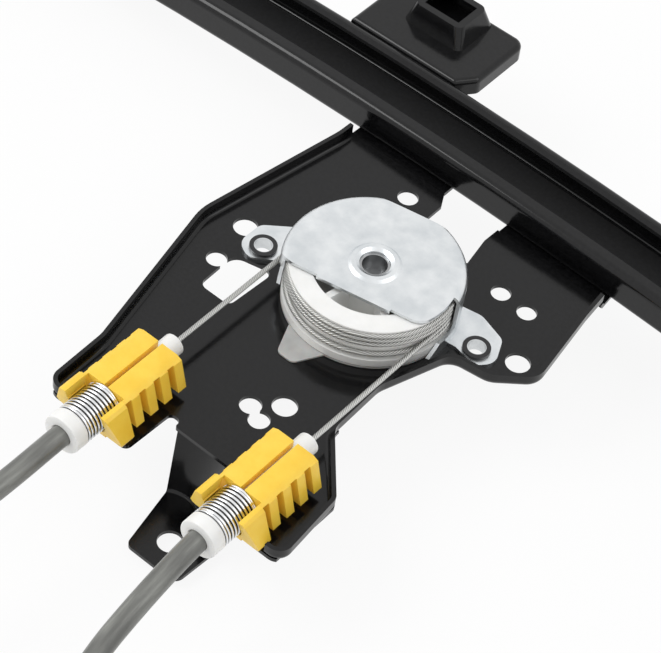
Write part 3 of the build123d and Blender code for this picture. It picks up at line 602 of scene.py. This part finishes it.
def turned_y(outline):
    """Ring turned about the cable's line from a closed outline of (radius, y)."""
    corners = TURNED_CORNERS
    angle = np.linspace(0, 2 * pi, corners, endpoint=False)
    verts = [(r * cos(a), y, CABLE_Z + r * sin(a)) for r, y in outline for a in angle]
    count = len(outline)
    faces = [(i * corners + c, i * corners + (c + 1) % corners,
              (i + 1) % count * corners + (c + 1) % corners, (i + 1) % count * corners + c)
             for i in range(count) for c in range(corners)]
    return verts, faces


def sleeve_outline():
    """Half section of the sleeve with its collar, from the tip round to the bore."""
    tip, back, front = SLEEVE_TIP, COLLAR_BACK, COLLAR_FRONT
    bore, out = SLEEVE_BORE_R, BORE_R - SLEEVE_CLEARANCE
    seat = SHEATH_R + SEAT_CLEARANCE
    return [(bore, tip), (out - SOFT, tip), (out - SOFT_MIDDLE, tip - SOFT_MIDDLE),
            (out, tip - SOFT), (out, back), (COLLAR_R - SOFT, back), (COLLAR_R, back - SOFT),
            (COLLAR_R, front + SOFT), (COLLAR_R - SOFT_MIDDLE, front + SOFT_MIDDLE),
            (COLLAR_R - SOFT, front), (seat + SEAT_MOUTH, front), (seat, front + SEAT_MOUTH),
            (seat, SHEATH_START), (bore, SHEATH_START)]


def adjusters():
    """Both blocks and sleeves, in place of the plainer ones of the frame."""
    pattern = block_mesh()
    for name, side in SIDES:
        block = linked("moulded_block_" + name, pattern.copy())
        sleeve = solid("guide_sleeve_" + name, *turned_y(sleeve_outline()))
        for piece, slot, node in ((block, "yellow_plastic", "adjuster_block_"),
                                  (sleeve, "white_nylon", "adjuster_sleeve_")):
            mesh = piece.data
            mesh.transform(Matrix.Translation((side * WIND_R, 0, 0)))
            mesh.materials.clear()
            mesh.materials.append(MATERIALS[slot])
            mesh.polygons.foreach_set("use_smooth", [True] * len(mesh.polygons))
            mesh.set_sharp_from_angle(angle=SHARP_ANGLE)
            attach(piece, "frame")
            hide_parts(node + name)
    bpy.data.meshes.remove(pattern)


# ------------------------------------------------- springs, sheaths and cables
def spring_coil(side):
    """Open coil between the block's seat and the sleeve's collar."""
    first = SPRING_SEAT - SPRING_WIRE_R
    last = SPRING_SEAT - SPRING_LENGTH + SPRING_WIRE_R
    turns = SPRING_TURNS - 0.5
    share = np.linspace(0, 1, int(turns * SPRING_TURN_POINTS))
    dead = SPRING_DEAD_TURNS / turns
    climb = np.clip((share - dead) / (1 - 2 * dead), 0, 1)
    a = 2 * pi * turns * share
    points = np.stack([side * WIND_R + SPRING_MID_R * np.cos(a), first + (last - first) * climb,
                       CABLE_Z + SPRING_MID_R * np.sin(a)], 1)
    return coil_tube(points, side)


def coil_tube(points, side):
    """Tube along a helix about the cable's line, its section kept square to the wire."""
    middle = np.array([side * WIND_R, 0, CABLE_Z])
    along = unit(np.gradient(points, axis=0))
    out = unit((points - middle) * (1, 0, 1))
    across = np.cross(along, out)
    angle = np.linspace(0, 2 * pi, SPRING_CORNERS, endpoint=False)
    verts = (points[:, None] + SPRING_WIRE_R * (np.cos(angle)[None, :, None] * out[:, None]
                                                + np.sin(angle)[None, :, None] * across[:, None]))
    count = len(points)
    faces = skin(count, SPRING_CORNERS) + end_caps(count, SPRING_CORNERS)
    # the last value is the crest, 1 on the wire's outer side and 0 towards the coil's axis, from
    # which the spring's finish paints shade
    return verts.reshape(-1, 3), faces, np.tile(0.5 + 0.5 * np.cos(angle), count)


def route_line(name, side):
    """Points of the smooth line that the sheath's route gives, from the collar to the ferrule."""
    low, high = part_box("sheath_ferrule_right")
    x = (low.x + high.x) / 2
    z = (low.z + high.z) / 2
    route = [Vector(p) * MM for p in SHEATH_START_ROUTE[name] + SHEATH_ROUTE]
    end = Vector((x, FERRULE_END_Y, z))
    route += [end - Vector((0, FERRULE_LEAD, 0)), end]
    data = bpy.data.curves.new("sheath_line", "CURVE")
    data.dimensions = "3D"
    line = data.splines.new("NURBS")
    line.points.add(len(route) - 1)
    for point, at in zip(line.points, route):
        point.co = (side * at.x, at.y, at.z, 1)
    line.use_endpoint_u = True
    line.order_u = 3
    line.resolution_u = ROUTE_POINTS
    holder = bpy.data.objects.new("sheath_line", data)
    mesh = bpy.data.meshes.new_from_object(holder)
    points = [tuple(v.co) for v in mesh.vertices]
    bpy.data.objects.remove(holder)
    bpy.data.meshes.remove(mesh)
    bpy.data.curves.remove(data)
    return points


def springs_and_sheaths():
    for name, side in SIDES:
        verts, faces, crest = spring_coil(side)
        coil = new_mesh("spring_coil_" + name, verts, faces, "frame", "spring_steel", crest)
        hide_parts("adjuster_spring_" + name)
        points, _ = resample(route_line(name, side), SHEATH_STEP)
        verts, faces, reach = tube(points, SHEATH_R, SHEATH_CORNERS)
        jacket = new_mesh("sheath_jacket_" + name, verts, faces, "frame", "grey_sheath")
        grid = jacket.data.uv_layers.new(name="along")
        for loop in jacket.data.loops:
            row, corner = divmod(loop.vertex_index, SHEATH_CORNERS)
            grid.data[loop.index].uv = (reach[row], corner / SHEATH_CORNERS)
        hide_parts("sheath_" + name)


def free_run(side):
    """Straight run to the drum and on round its rear, as the frame's cable goes."""
    line = [(side * WIND_R, SHEATH_START, CABLE_Z), (side * WIND_R, 0, CABLE_Z)]
    return line + [(side * WIND_R * cos(a), WIND_R * sin(a), CABLE_Z)
                   for a in np.linspace(WRAP_START, WRAP, WRAP_POINTS)]


def cables():
    for name, side in SIDES:
        verts, faces, crest = strand_tubes(free_run(side))
        piece = new_mesh("stranded_run_" + name, verts, faces, "frame", "steel_cable", crest)
        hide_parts("cable_run_" + name)
    verts, faces, crest = [], [], []
    for i, z in enumerate(WINDINGS):
        ring = [(WIND_R * cos(a), WIND_R * sin(a), z)
                for a in np.linspace(0, 2 * pi, WINDING_POINTS)]
        more, sides, crests = strand_tubes(ring, phase=i * WINDING_TWIST)
        faces += [tuple(q + len(verts) for q in s) for s in sides]
        verts += more
        crest += crests
    piece = new_mesh("stranded_windings", verts, faces, "drum", "steel_cable", crest)
    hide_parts("drum_windings")


# --------------------------------------------------------- floor, light, camera
def floor():
    z = CAD_BOX[0][2] - FLOOR_DROP
    half = FLOOR_SIZE / 2
    mesh = bpy.data.meshes.new("floor")
    mesh.from_pydata([(-half, -half, z), (half, -half, z), (half, half, z), (-half, half, z)],
                     [], [(0, 1, 2, 3)])
    plane = linked("floor", mesh)
    look = bpy.data.materials.new("white_sweep")
    look.use_nodes = True
    tree = look.node_tree
    shader = tree.nodes["Principled BSDF"]
    shader.inputs["Base Color"].default_value = (FLOOR_WHITE, FLOOR_WHITE, FLOOR_WHITE, 1)
    shader.inputs["Roughness"].default_value = FLOOR_ROUGHNESS
    glow = tree.nodes.new("ShaderNodeEmission")
    path = tree.nodes.new("ShaderNodeLightPath")
    seen = maths(tree, "MAXIMUM", path.outputs["Is Camera Ray"], path.outputs["Is Glossy Ray"])
    mix = tree.nodes.new("ShaderNodeMixShader")
    tree.links.new(maths(tree, "MULTIPLY", seen, FLOOR_GLOW), mix.inputs[0])
    tree.links.new(shader.outputs[0], mix.inputs[1])
    tree.links.new(glow.outputs[0], mix.inputs[2])
    tree.links.new(mix.outputs[0], tree.nodes["Material Output"].inputs["Surface"])
    mesh.materials.append(look)


def area_light(name, place, size, power):
    """A square lamp that faces the frame's origin."""
    data = bpy.data.lights.new(name, "AREA")
    data.shape = "RECTANGLE"
    data.size, data.size_y = size
    data.energy = power
    lamp = linked(name, data)
    lamp.location = place
    lamp.rotation_euler = (-Vector(place)).to_track_quat("-Z", "Y").to_euler()


def light():
    world = bpy.data.worlds.new("studio")
    bpy.context.scene.world = world
    world.use_nodes = True
    tree = world.node_tree
    back = tree.nodes["Background"]
    back.inputs["Color"].default_value = (1, 1, 1, 1)
    path = tree.nodes.new("ShaderNodeLightPath")
    seen = maths(tree, "MAXIMUM", path.outputs["Is Camera Ray"], path.outputs["Is Glossy Ray"])
    seen = maths(tree, "MAXIMUM", seen, path.outputs["Is Transmission Ray"])
    level = tree.nodes.new("ShaderNodeMapRange")
    level.inputs["To Min"].default_value = WORLD_DIFFUSE
    level.inputs["To Max"].default_value = WORLD_SEEN
    tree.links.new(seen, level.inputs["Value"])
    tree.links.new(level.outputs["Result"], back.inputs["Strength"])
    area_light("key", KEY_PLACE, KEY_SIZE, KEY_POWER)
    area_light("fill", FILL_PLACE, FILL_SIZE, FILL_POWER)


def camera():
    ahead = Vector((cos(VIEW_PLAN) * cos(VIEW_ELEVATION), sin(VIEW_PLAN) * cos(VIEW_ELEVATION),
                    -sin(VIEW_ELEVATION)))
    level = ahead.cross(Vector((0, 0, 1))).normalized()
    upward = level.cross(ahead)
    right = level * cos(VIEW_ROLL) + upward * sin(VIEW_ROLL)
    up = upward * cos(VIEW_ROLL) - level * sin(VIEW_ROLL)
    data = bpy.data.cameras.new("camera")
    data.lens = LENS
    data.sensor_width = SENSOR_WIDTH
    data.clip_start, data.clip_end = CLIP
    eye = linked("camera", data)
    turn = Matrix((right, up, -ahead)).transposed().to_4x4()
    eye.matrix_world = Matrix.Translation(VIEW_TARGET - ahead * VIEW_DISTANCE) @ turn
    bpy.context.scene.camera = eye


camera()
springs_and_sheaths()
adjusters()
dress_nodes()
cables()
floor()
light()
bpy.context.scene.view_settings.view_transform = "Standard"
bpy.context.view_layer.update()
